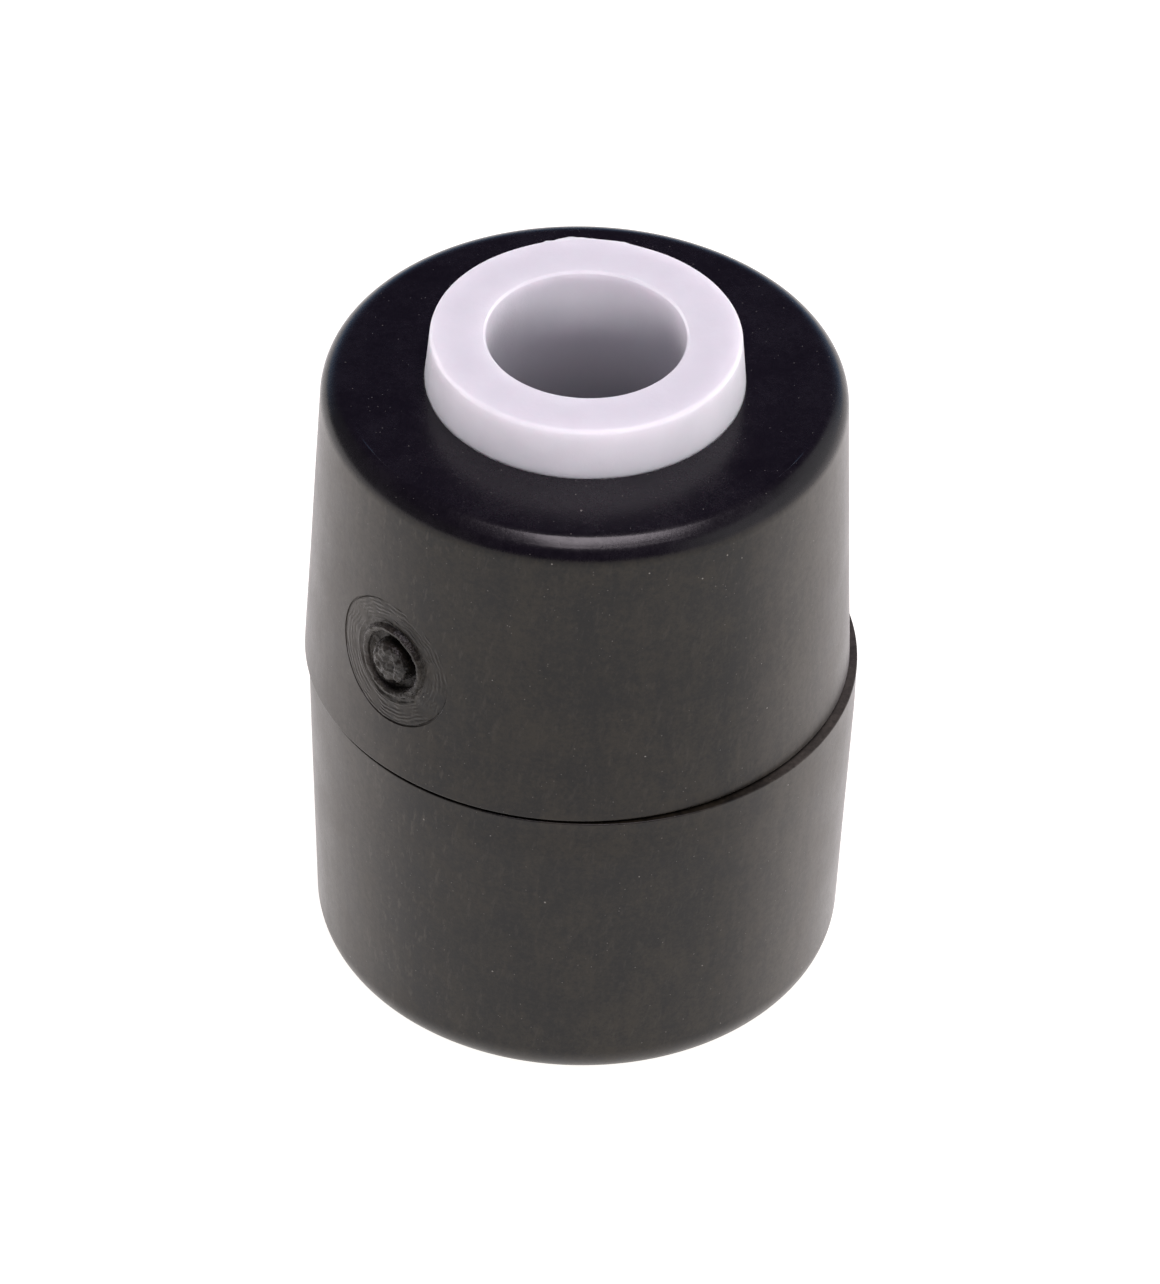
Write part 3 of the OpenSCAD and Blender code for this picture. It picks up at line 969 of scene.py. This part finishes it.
def makeCamera():
    up = math.radians(view["elevation"])
    back = Vector((0, -math.cos(up), math.sin(up)))
    camera = bpy.data.cameras.new("camera")
    camera.lens = view["lens"]
    camera.sensor_width = view["sensor"]
    camera.shift_x = view["shiftX"]
    camera.clip_start = 0.05
    camera.clip_end = 10
    stand = bpy.data.objects.new("camera", camera)
    bpy.context.scene.collection.objects.link(stand)
    stand.location = (Vector(view["aim"]) + back * view["distance"]) * mm
    aimed = (-back).to_track_quat("-Z", "Y").to_matrix()
    stand.rotation_euler = (aimed @ Matrix.Rotation(view["roll"], 3, "Z")).to_euler()
    bpy.context.scene.camera = stand


studio = {
    "floorR": 2.5,
    "floorGlow": 1.0,
    "floorTint": (1.06, 1.02, 0.98),
    "paper": (0.42, 0.42, 0.42),
    "paperShade": (0.38, 0.38, 0.38),
    "topPower": 1.75,
    "topSize": (0.30, 0.20),
    "topAt": (0.04, -0.10, 0.50),
    "topAim": (0, 0, 0.02),
    "topTint": (1.0, 0.90, 0.98),
    "skyGlow": 0.9,
    "fillCount": 3,
    "fillElevation": 20,
    "fillSize": (0.34, 0.12),
    "fillPower": 1.35,
    "fillAim": (0, 0, 0.034),
    "fillTint": (1.0, 0.93, 0.97),
    "sky": (0.085, 0.072, 0.125),
    "horizon": (0.34, 0.58, 0.95),
    "leftPanel": 0.2,
    "rightPanel": 1.1,
}


def makeFloor():
    bm = bmesh.new()
    bmesh.ops.create_circle(bm, cap_ends=True, segments=96, radius=studio["floorR"])
    mesh = bpy.data.meshes.new("floor")
    bm.to_mesh(mesh)
    bm.free()
    material, graph, shader = newFinish("pale floor", Roughness=0.9, Specular_IOR_Level=0.0)
    soft = graph.grain(graph.place(), 0.004, 2.0)
    paper = graph.mix(graph.blend(soft, 0.3, 0.7), studio["paperShade"], studio["paper"])
    shader.inputs["Emission Strength"].default_value = studio["floorGlow"]
    shader.inputs["Emission Color"].default_value = (*studio["floorTint"], 1)
    connect(graph, shader, Base_Color=paper)
    mesh.materials.append(material)
    floor = bpy.data.objects.new("floor", mesh)
    floor.location.z = -0.00005
    bpy.context.scene.collection.objects.link(floor)


def makeLight(name, at, aim, size, power, tint):
    lamp = bpy.data.lights.new(name, "AREA")
    lamp.shape = "RECTANGLE"
    lamp.size = size[0]
    lamp.size_y = size[1]
    lamp.energy = power
    lamp.color = tint
    holder = bpy.data.objects.new(name, lamp)
    bpy.context.scene.collection.objects.link(holder)
    holder.location = at
    holder.rotation_euler = (Vector(aim) - Vector(at)).to_track_quat("-Z", "Y").to_euler()
    holder.visible_camera = False
    return holder


def lightSleeve():
    # low soft lights round the sleeve that fall on nothing else
    only = bpy.data.collections.new("sleeve only")
    only.objects.link(bpy.data.objects["inletSleeve"])
    for i in range(studio["fillCount"]):
        turn = 2 * math.pi * i / studio["fillCount"]
        up = math.radians(studio["fillElevation"])
        away = Vector((math.sin(turn) * math.cos(up), -math.cos(turn) * math.cos(up), math.sin(up)))
        lamp = makeLight(f"sleeve fill {i + 1}", away * 0.5, studio["fillAim"], studio["fillSize"],
                         studio["fillPower"], studio["fillTint"])
        lamp.light_linking.receiver_collection = only


def makeSky():
    world = bpy.data.worlds.new("studio")
    bpy.context.scene.world = world
    world.use_nodes = True
    graph = Graph(world.node_tree)
    background = world.node_tree.nodes["Background"]
    direction = graph.add("ShaderNodeTexCoord", None, (), "Generated")
    x, y, z = graph.apart(direction)
    low = 1 - graph.blend(z, 0.02, 0.42)
    behind = graph.blend(y, -0.1, 0.5)
    sky = graph.mix(low * behind, studio["sky"], studio["horizon"])
    # broad soft panels on both sides, the right one brighter
    flat = x.math("SQRT", x * x + y * y + 0.0001)
    panel = graph.blend(x.math("ABSOLUTE", x) / flat, 0.55, 0.85) * (1 - graph.blend(z, 0.5, 0.8))
    right = graph.blend(x, -0.3, 0.3, studio["leftPanel"], studio["rightPanel"])
    bright = graph.add("ShaderNodeCombineXYZ", None, (right, right, right))
    sky = graph.mix(panel, sky, bright)
    seen = graph.add("ShaderNodeLightPath", None, (), "Is Camera Ray")
    sky = graph.mix(seen, sky, (1.0, 1.0, 1.0))
    graph.tree.links.new(sky.socket, background.inputs["Color"])
    background.inputs["Strength"].default_value = studio["skyGlow"]


makeCamera()
makeFloor()
makeSky()
makeLight("overhead", studio["topAt"], studio["topAim"], studio["topSize"], studio["topPower"],
          studio["topTint"])
lightSleeve()
bpy.context.scene.view_settings.view_transform = "Standard"
print("camera, floor and lights placed")
